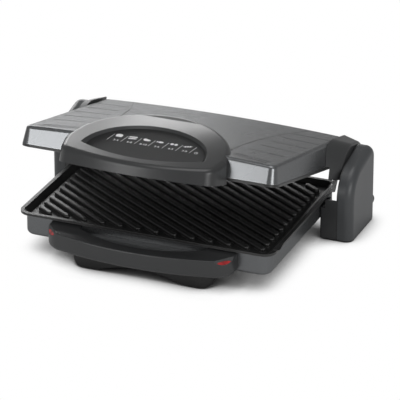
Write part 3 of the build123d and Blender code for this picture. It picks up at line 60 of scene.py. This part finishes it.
# ---- studio -------------------------------------------------------------------
FLOOR_HALF = 12.0
FLOOR_SHADE = 0.035                  # reach of the shadow painted under and beside the grill
SURROUNDINGS = 0.38                  # strength of the plain white world
LIGHT_AIM = (0, 0, 0.08)
SOFT_BOXES = {                       # place, width, height, watts
    "overhead_box": ((0.3, -0.2, 2.3), 1.8, 1.2, 18),
    "rear_left_box": ((-1.45, 2.07, 0.66), 1.5, 0.6, 18),
    "front_left_box": ((-0.95, -2.0, 0.8), 0.9, 0.7, 12),
    "front_right_box": ((1.9, -1.3, 0.75), 1.1, 0.7, 15),
}

# ---- dome of the hood, drawn by its shading -----------------------------------
CROWN_HEIGHT = 9.0 * MM
CROWN_HALF = 100.0 * MM              # half its width, across the grill
CROWN_FRONT = -125.0 * MM            # the dome is highest here, and falls to the rear
CROWN_REAR = -30.0 * MM
CROWN_RISE = (60.0 * MM, 65.0 * MM)  # the handle, below these heights, keeps its own shape

# ---- printed label ------------------------------------------------------------
PRINT_HEIGHT = 0.06 * MM
PRINT_LIFT = 0.02 * MM
ICON_COUNT = 6
ICON_PITCH = 17.5 * MM
ICON_SIZE = 5.4 * MM                 # half the width of a sign
ICON_ROW = 10.5 * MM                 # above the label's middle, along the slope
NUMBER_ROW = -0.6 * MM
NUMBER_SIZE = 5.0 * MM
RULE_WIDTH = 0.45 * MM
RULE_LENGTH = 15.0 * MM
RULE_LEAN = radians(14)
CLOCK_RADIUS = 0.42 * ICON_SIZE
CLOCK_COLUMN = ICON_COUNT - 0.15     # counted in signs from the first
TIMES = ("3-4", "6-8", "8-10", "5-6", "4-5", "7-9")
CURVE_STEPS = 40


# ---- shader trees ---------------------------------------------------------------
class Socket:
    """One output in a shader tree; arithmetic on it adds Math nodes."""

    def __init__(self, surface, source):
        self.surface = surface
        self.source = source

    def math(self, operation, first, second):
        return self.surface.add("ShaderNodeMath", {"operation": operation}, {0: first, 1: second})

    def __add__(self, other):
        return self.math("ADD", self, other)

    def __sub__(self, other):
        return self.math("SUBTRACT", self, other)

    def __rsub__(self, other):
        return self.math("SUBTRACT", other, self)

    def __mul__(self, other):
        return self.math("MULTIPLY", self, other)

    def __pow__(self, other):
        return self.math("POWER", self, other)

    __radd__ = __add__
    __rmul__ = __mul__

    def clipped(self, low, high):
        """0 below low, 1 above high, a straight ramp between them."""
        inputs = {"Value": self, "From Min": low, "From Max": high}
        return self.surface.add("ShaderNodeMapRange", {"clamp": True}, inputs)


class Surface:
    """A procedural finish: one Principled shader and the nodes that vary it."""

    def __init__(self, name, **uniform):
        self.material = bpy.data.materials.new(name)
        self.material.use_nodes = True
        self.tree = self.material.node_tree
        self.shader = self.tree.nodes["Principled BSDF"]
        for socket, value in uniform.items():
            self.shader.inputs[socket.replace("_", " ")].default_value = value
        self.place = self.add("ShaderNodeTexCoord", {}, {}, "Object")

    def add(self, kind, settings, inputs, output=0):
        """Adds a node, sets it, feeds its sockets, and returns one of its outputs."""
        node = self.tree.nodes.new(kind)
        for name, value in settings.items():
            setattr(node, name, value)
        for name, value in inputs.items():
            if isinstance(value, Socket):
                self.tree.links.new(value.source, node.inputs[name])
            else:
                node.inputs[name].default_value = value
        return Socket(self, node.outputs[output])

    def feed(self, **varying):
        """Links what changes over the surface to the shader."""
        for name, value in varying.items():
            self.tree.links.new(value.source, self.shader.inputs[name.replace("_", " ")])

    def along(self, axis):
        """Place on the part along X, Y or Z, in metres."""
        return self.add("ShaderNodeSeparateXYZ", {}, {0: self.place}, axis)

    def noise(self, scale, detail=2.0, stretch=(1, 1, 1)):
        """Noise from 0 to 1; scale counts features in a metre."""
        place = self.add("ShaderNodeVectorMath", {"operation": "MULTIPLY"}, {0: self.place, 1: stretch})
        return self.add("ShaderNodeTexNoise", {}, {"Vector": place, "Scale": scale, "Detail": detail})

    def cells(self, scale):
        """Distance to the nearest of many scattered points."""
        return self.add("ShaderNodeTexVoronoi", {}, {"Vector": self.place, "Scale": scale})

    def edges(self, radius):
        """Near 1 along sharp edges, 0 on flat or gently curved ground."""
        rounded = self.add("ShaderNodeBevel", {"samples": 6}, {"Radius": radius})
        plain = self.add("ShaderNodeNewGeometry", {}, {}, "Normal")
        settings = {"operation": "DOT_PRODUCT"}
        along = self.add("ShaderNodeVectorMath", settings, {0: rounded, 1: plain}, "Value")
        return (1 - along).clipped(0.01, 0.16)

    def mix(self, factor, low, high):
        """Colour between low and high."""
        settings = {"data_type": "RGBA"}
        inputs = {"Factor": factor, 6: low, 7: high}
        return self.add("ShaderNodeMix", settings, inputs, 2)

    def bump(self, height, depth):
        """Relief of a height from 0 to 1, this deep in metres."""
        inputs = {"Height": height, "Distance": depth, "Strength": 1.0}
        self.feed(Normal=self.add("ShaderNodeBump", {}, inputs))


def grey(level, warmth=0.0):
    """Grey, a little warm where warmth is above 0 and a little blue below."""
    return (level * (1 + warmth), level, level * (1 - warmth), 1.0)


# ---- finishes -------------------------------------------------------------------
def metallic_paint(name, level):
    """Satin metallic lacquer with fine flakes and a painted highlight lightening its edges."""
    paint = Surface(name, Metallic=0.82, Coat_Roughness=0.15, Coat_Weight=0.12, Specular_Tint=grey(0.62))
    flakes = paint.cells(2600).clipped(0.15, 0.55)
    drift = paint.noise(9, 3)
    highlight_edge = paint.edges(0.9 * MM)
    body = paint.mix(flakes * 0.35 + drift * 0.3, grey(level * 0.86, -0.03), grey(level * 1.14, -0.03))
    paint.feed(
        # painted highlight: the colour lightens along sharp edges, standing in for light caught on their
        # rounding
        Base_Color=paint.mix(highlight_edge * 0.6, body, grey(level * 2.6, -0.02)),
        Roughness=drift * 0.06 + flakes * 0.05 + 0.20,
    )
    paint.bump(paint.noise(420, 2), 0.005 * MM)
    return paint.material


def grained_plastic(name, level, roughness, warmth=-0.03, crown=0.0):
    """Moulded plastic with spark-eroded grain, polished a little along its edges, where a painted highlight
    also lightens its colour.

    A crown, in metres, makes the top of the hood look domed across and to the rear.
    """
    plastic = Surface(name, Specular_IOR_Level=0.5)
    grain = plastic.noise(1900, 3)
    handled = plastic.noise(22, 4)
    highlight_edge = plastic.edges(0.8 * MM)
    body = plastic.mix(handled, grey(level * 0.88, warmth), grey(level * 1.12, warmth))
    plastic.feed(
        # painted highlight: the colour lightens along sharp edges; the lower roughness there is the polish
        Base_Color=plastic.mix(highlight_edge * 0.4, body, grey(level * 1.9, warmth)),
        Roughness=handled * 0.1 + grain * 0.08 - highlight_edge * 0.08 + (roughness - 0.09),
    )
    across = plastic.along(0).clipped(-CROWN_HALF, CROWN_HALF) - 0.5
    rearward = plastic.along(1).clipped(CROWN_FRONT, CROWN_REAR)
    dome = (1 - across ** 2 * 4.0) * (1 - rearward ** 2) * plastic.along(2).clipped(*CROWN_RISE)
    plastic.bump(grain * (0.035 * MM) + dome * crown, 1.0)
    return plastic.material


def non_stick(name):
    """Black coated casting: fine pebbled skin, faint mottling, and a painted highlight greying its edges."""
    coat = Surface(name, Specular_IOR_Level=0.55)
    pebbles = coat.noise(1300, 4)
    mottle = coat.noise(45, 5)
    highlight_edge = coat.edges(0.7 * MM)
    body = coat.mix(mottle, grey(0.009), grey(0.018))
    coat.feed(
        # painted highlight: the colour greys along sharp edges, standing in for the bright rim highlight
        Base_Color=coat.mix(highlight_edge * 0.6, body, grey(0.14)),
        Roughness=mottle * 0.12 + pebbles * 0.1 + 0.24,
    )
    coat.bump(pebbles, 0.03 * MM)
    return coat.material


def brushed(name, level, warmth, roughness, direction):
    """Bare metal with a grain along one axis."""
    metal = Surface(name, Metallic=1.0)
    lines = metal.noise(900, 4, direction)
    patches = metal.noise(60, 3)
    worn = lines * 0.6 + patches * 0.4
    metal.feed(
        Base_Color=metal.mix(worn, grey(level * 0.75, warmth), grey(level * 1.15, warmth)),
        Roughness=lines * 0.15 + patches * 0.1 + roughness,
    )
    metal.bump(lines, 0.01 * MM)
    return metal.material


def red_lens(name):
    """Clear red lamp cover with moulded ribs inside and a glow behind."""
    lens = Surface(name, Roughness=0.06, Coat_Weight=0.6, Coat_Roughness=0.04, Transmission_Weight=0.35)
    ribs = lens.noise(420, 1, (1, 1, 0.1))
    depth = lens.noise(130, 2)
    red = lens.mix(depth.clipped(0.35, 0.65), (0.10, 0.002, 0.003, 1), (0.55, 0.012, 0.014, 1))
    lens.shader.inputs["Emission Strength"].default_value = 0.12
    lens.feed(Base_Color=red, Emission_Color=red)
    lens.bump(ribs, 0.12 * MM)
    return lens.material


def rubber(name):
    """Matt black rubber with a little dust."""
    pad = Surface(name, Specular_IOR_Level=0.3)
    dust = pad.noise(300, 5)
    pad.feed(Base_Color=pad.mix(dust, grey(0.012), grey(0.035)), Roughness=dust * 0.15 + 0.7)
    pad.bump(dust, 0.05 * MM)
    return pad.material


def lamp_glass(name):
    """Clear envelope of a neon lamp, faintly orange."""
    glass = Surface(name, Roughness=0.05, Transmission_Weight=0.8)
    tint = glass.noise(200, 2)
    glass.feed(Base_Color=glass.mix(tint, (1.0, 0.7, 0.5, 1), (1.0, 0.85, 0.7, 1)))
    return glass.material


def moulded_insulator(name):
    """Pale heat-proof plastic with slight browning."""
    part = Surface(name)
    brown = part.noise(70, 4)
    part.feed(
        Base_Color=part.mix(brown, grey(0.62, 0.05), (0.5, 0.42, 0.33, 1)), Roughness=brown * 0.15 + 0.5
    )
    part.bump(part.noise(1500, 2), 0.02 * MM)
    return part.material


def print_ink(name):
    """Pale screen print with slightly uneven cover."""
    ink = Surface(name, Specular_IOR_Level=0.3)
    cover = ink.noise(1400, 3)
    ink.feed(Base_Color=ink.mix(cover.clipped(0.3, 0.6), grey(0.62), grey(0.8)), Roughness=cover * 0.2 + 0.4)
    return ink.material


def label_sheet(name):
    """Satin dark sheet under the print."""
    sheet = Surface(name, Specular_IOR_Level=0.2)
    fine = sheet.noise(2600, 2)
    cloud = sheet.noise(30, 3)
    sheet.feed(
        Base_Color=sheet.mix(cloud, grey(0.009, -0.03), grey(0.013, -0.03)),
        Roughness=cloud * 0.06 + fine * 0.06 + 0.36,
    )
    sheet.bump(fine, 0.015 * MM)
    return sheet.material


FINISHES = {
    "housing_metal": metallic_paint("housing_lacquer", 0.155),
    "cast_plate": non_stick("non_stick_coat"),
    "grey_plastic": grained_plastic("dark_grey_plastic", 0.026, 0.34, crown=CROWN_HEIGHT),
    "tower_plastic": grained_plastic("tower_grey_plastic", 0.045, 0.40, -0.06),
    "black_plastic": grained_plastic("black_plastic", 0.008, 0.36, 0.0),
    "label_plastic": label_sheet("label_satin"),
    "lens_plastic": red_lens("red_lens"),
    "lamp_glass": lamp_glass("neon_glass"),
    "inner_plastic": moulded_insulator("heat_proof_plastic"),
    "foot_rubber": rubber("foot_rubber"),
    "heater_steel": brushed("oxidised_heater_steel", 0.2, 0.06, 0.4, (1, 1, 1)),
    "bright_steel": brushed("bright_steel", 0.65, 0.0, 0.18, (0.1, 1, 1)),
    "sheet_metal": brushed("rolled_aluminium", 0.7, 0.0, 0.25, (0.05, 1, 1)),
    "screw_steel": brushed("zinc_plated_steel", 0.5, 0.02, 0.3, (1, 1, 0.2)),
}


def dress_nodes():
    """Gives each part of the frame the finish of its material slot."""
    for part in frame["record"]["subparts"]:
        node = NODES[part["node"]]
        for holder in node.material_slots:
            holder.material = FINISHES[part["material_slot"]]


# ---- printed label --------------------------------------------------------------
def label_plane():
    """Place and turn of the label sheet's upper face: X across, Y up the slope, Z outwards."""
    mesh = NODES["console_label_panel"].data
    upper = [face for face in mesh.polygons if face.normal.z > 0.5]
    area = sum(face.area for face in upper)
    out = sum((face.normal * face.area for face in upper), Vector()) / area
    out.normalize()
    low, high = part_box("console_label_panel")
    point = upper[0].center
    middle = (low + high) / 2
    middle.z = point.z - (out.x * (middle.x - point.x) + out.y * (middle.y - point.y)) / out.z
    across = Vector((1, 0, 0))
    up = out.cross(across)
    turn = Matrix((across, up, out)).transposed().to_4x4()
    return Matrix.Translation(middle + out * PRINT_LIFT) @ turn


def printed(name, outlines, place, ink):
    """Thin closed slabs from flat outlines, laid on the label."""
    corners = []
    faces = []
    for outline in outlines:
        start = len(corners)
        count = len(outline)
        for height in (0, PRINT_HEIGHT):
            corners += [(x, y, height) for x, y in outline]
        faces.append([start + index for index in reversed(range(count))])
        faces.append([start + count + index for index in range(count)])
        for index in range(count):
            after = (index + 1) % count
            faces.append([start + index, start + after, start + count + after, start + count + index])
    mesh = bpy.data.meshes.new(name)
    mesh.from_pydata(corners, [], faces)
    mesh.transform(place)
    mesh.materials.append(ink)
    piece = bpy.data.objects.new(name, mesh)
    bpy.context.collection.objects.link(piece)
    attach(piece, "lid")


def oval(x, y, half_width, half_height):
    """Outline of an ellipse round a point."""
    angles = [2 * pi * step / CURVE_STEPS for step in range(CURVE_STEPS)]
    return [(x + half_width * cos(angle), y + half_height * sin(angle)) for angle in angles]


def bar(start, end, width):
    """Rounded bar between two points."""
    (x0, y0), (x1, y1) = start, end
    along = Vector((x1 - x0, y1 - y0)).normalized()
    turn = Vector((-along.y, along.x))
    half = width / 2
    points = []
    for centre, sign in ((end, 1), (start, -1)):
        for step in range(CURVE_STEPS // 4 + 1):
            angle = -pi / 2 + pi * step / (CURVE_STEPS // 4)
            offset = (along * cos(angle) + turn * sin(angle)) * half * sign
            points.append((centre[0] + offset.x, centre[1] + offset.y))
    return points


def toast():
    """Slice of bread with a domed crust."""
    size = ICON_SIZE
    crust = oval(0, 0.25 * size, 0.8 * size, 0.45 * size)[:CURVE_STEPS // 2 + 1]
    lower = [(-0.7 * size, -0.55 * size), (0.7 * size, -0.55 * size)]
    return [crust + lower]


def sausages():
    """Two sausages, one above the other."""
    size = ICON_SIZE
    return [bar((-0.75 * size, rise), (0.75 * size, rise + 0.2 * size), 0.42 * size)
            for rise in (-0.5 * size, 0.2 * size)]


def steak():
    """Lobed outline of a steak."""
    size = ICON_SIZE
    outline = []
    for step in range(CURVE_STEPS):
        angle = 2 * pi * step / CURVE_STEPS
        reach = size * (0.72 + 0.16 * cos(2 * angle + 0.6) + 0.08 * cos(3 * angle))
        outline.append((reach * cos(angle), 0.72 * reach * sin(angle)))
    return [outline]


def fish():
    """Oval body and forked tail."""
    size = ICON_SIZE
    body = oval(0.12 * size, 0, 0.62 * size, 0.34 * size)
    tail = [(-0.42 * size, 0), (-0.92 * size, 0.36 * size), (-0.8 * size, 0), (-0.92 * size, -0.36 * size)]
    return [body, tail]


def tomato_halves():
    """Two discs, side by side."""
    size = ICON_SIZE
    return [oval(side * 0.47 * size, 0, 0.4 * size, 0.4 * size) for side in (-1, 1)]


def skewer():
    """Three lumps on a slanted stick."""
    size = ICON_SIZE
    stick = bar((-0.95 * size, -0.3 * size), (0.95 * size, 0.3 * size), 0.1 * size)
    lumps = [oval(step * 0.5 * size, step * 0.16 * size, 0.21 * size, 0.3 * size) for step in (-1, 0, 1)]
    return [stick] + lumps


def moved(outlines, x, y):
    """The same outlines at another place."""
    return [[(px + x, py + y) for px, py in outline] for outline in outlines]


def ring(x, y, radius, width):
    """Ring as two half bands."""
    bands = []
    half = CURVE_STEPS // 2
    for start in (0, half):
        angles = [2 * pi * (start + step) / CURVE_STEPS for step in range(half + 1)]
        outer = [(x + radius * cos(angle), y + radius * sin(angle)) for angle in angles]
        within = radius - width
        inner = [(x + within * cos(angle), y + within * sin(angle)) for angle in reversed(angles)]
        bands.append(outer + inner)
    return bands


def print_label():
    """Six plain food signs with minutes below them, slanted rules between, and a small clock."""
    place = label_plane()
    ink = print_ink("label_ink")
    first = -(ICON_COUNT - 1) / 2 * ICON_PITCH
    signs = (toast, sausages, steak, fish, tomato_halves, skewer)
    for index, sign in enumerate(signs):
        x = first + index * ICON_PITCH
        printed("label_sign_" + sign.__name__, moved(sign(), x, ICON_ROW), place, ink)
    rules = []
    middle = (ICON_ROW + NUMBER_ROW) / 2
    lean = RULE_LENGTH / 2 * sin(RULE_LEAN)
    rise = RULE_LENGTH / 2 * cos(RULE_LEAN)
    for index in range(ICON_COUNT + 1):
        x = first + (index - 0.5) * ICON_PITCH
        rules.append(bar((x - lean, middle - rise), (x + lean, middle + rise), RULE_WIDTH))
    printed("label_rules", rules, place, ink)
    for index, minutes in enumerate(TIMES):
        words = bpy.data.curves.new("label_time_" + str(index + 1), "FONT")
        words.body = minutes
        words.size = NUMBER_SIZE
        words.align_x = "CENTER"
        words.align_y = "CENTER"
        words.extrude = PRINT_HEIGHT / 2
        words.materials.append(ink)
        piece = bpy.data.objects.new(words.name, words)
        bpy.context.collection.objects.link(piece)
        x = first + index * ICON_PITCH
        piece.matrix_world = place @ Matrix.Translation((x, NUMBER_ROW, PRINT_HEIGHT / 2))
        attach(piece, "lid")
    clock_x = first + CLOCK_COLUMN * ICON_PITCH
    hands = [
        bar((clock_x, NUMBER_ROW), (clock_x, NUMBER_ROW + 0.6 * CLOCK_RADIUS), RULE_WIDTH),
        bar((clock_x, NUMBER_ROW), (clock_x + 0.5 * CLOCK_RADIUS, NUMBER_ROW), RULE_WIDTH),
    ]
    printed("label_clock", ring(clock_x, NUMBER_ROW, CLOCK_RADIUS, RULE_WIDTH) + hands, place, ink)


# ---- camera, floor and lights -----------------------------------------------------
def view_axes():
    """Right, up and backward directions of the camera."""
    right = Vector((cos(VIEW_AZIMUTH), sin(VIEW_AZIMUTH), 0))
    level = Vector((sin(VIEW_AZIMUTH), -cos(VIEW_AZIMUTH), 0))
    back = level * cos(VIEW_ELEVATION) + Vector((0, 0, sin(VIEW_ELEVATION)))
    return right, back.cross(right), back


def add_camera():
    """Long lens, placed as the photograph was taken."""
    right, up, back = view_axes()
    lens = bpy.data.cameras.new("studio_camera")
    lens.lens = VIEW_LENS
    lens.sensor_width = VIEW_SENSOR
    lens.clip_end = VIEW_REACH
    camera = bpy.data.objects.new("studio_camera", lens)
    bpy.context.collection.objects.link(camera)
    turn = Matrix((right, up, back)).transposed().to_4x4()
    eye = VIEW_TARGET + back * VIEW_DISTANCE + right * VIEW_ACROSS + up * VIEW_ALONG
    camera.matrix_world = Matrix.Translation(eye) @ turn
    bpy.context.scene.camera = camera


def soft_box(name, place, width, height, watts):
    """Large rectangular lamp aimed at the grill."""
    lamp = bpy.data.lights.new(name, "AREA")
    lamp.shape = "RECTANGLE"
    lamp.size = width
    lamp.size_y = height
    lamp.energy = watts
    holder = bpy.data.objects.new(name, lamp)
    bpy.context.collection.objects.link(holder)
    turn = (Vector(LIGHT_AIM) - Vector(place)).to_track_quat("-Z", "Y")
    holder.matrix_world = Matrix.Translation(place) @ turn.to_matrix().to_4x4()


def add_floor():
    """Wide pale floor: white to the camera, with shadow painted dark into its colour where the grill stands
    close.
    """
    half = FLOOR_HALF
    corners = [(-half, -half, 0), (half, -half, 0), (half, half, 0), (-half, half, 0)]
    mesh = bpy.data.meshes.new("studio_floor")
    mesh.from_pydata(corners, [], [(0, 1, 2, 3)])
    floor = bpy.data.objects.new("studio_floor", mesh)
    bpy.context.collection.objects.link(floor)
    surface = Surface("pale_floor", Roughness=0.9, Specular_IOR_Level=0.1)
    tone = surface.noise(3, 2)
    clear = surface.add("ShaderNodeAmbientOcclusion", {"samples": 12}, {"Distance": FLOOR_SHADE}, "AO")
    open_floor = surface.mix(tone, grey(0.80), grey(0.82))
    # painted shadow: the floor's colour goes nearly black where ambient occlusion finds the grill close
    surface.feed(Base_Color=surface.mix(clear.clipped(0.1, 0.75), grey(0.03), open_floor))
    seen = surface.add("ShaderNodeLightPath", {}, {}, "Is Camera Ray")
    glow = surface.add("ShaderNodeEmission", {}, {})
    lit = Socket(surface, surface.shader.outputs[0])
    both = surface.add("ShaderNodeMixShader", {}, {0: seen * clear.clipped(0.4, 0.85), 1: lit, 2: glow})
    output = surface.tree.nodes["Material Output"]
    surface.tree.links.new(both.source, output.inputs["Surface"])
    mesh.materials.append(surface.material)


def add_world():
    """Plain white surroundings."""
    world = bpy.data.worlds.new("studio_world")
    world.use_nodes = True
    backdrop = world.node_tree.nodes["Background"]
    backdrop.inputs["Color"].default_value = grey(1.0)
    backdrop.inputs["Strength"].default_value = SURROUNDINGS
    bpy.context.scene.world = world


def add_lights():
    """One box over the grill, one low behind it, and one on each side of the camera."""
    for name, (place, width, height, watts) in SOFT_BOXES.items():
        soft_box(name, place, width, height, watts)


dress_nodes()
print_label()
add_camera()
add_floor()
add_world()
add_lights()
bpy.context.scene.view_settings.view_transform = "Standard"
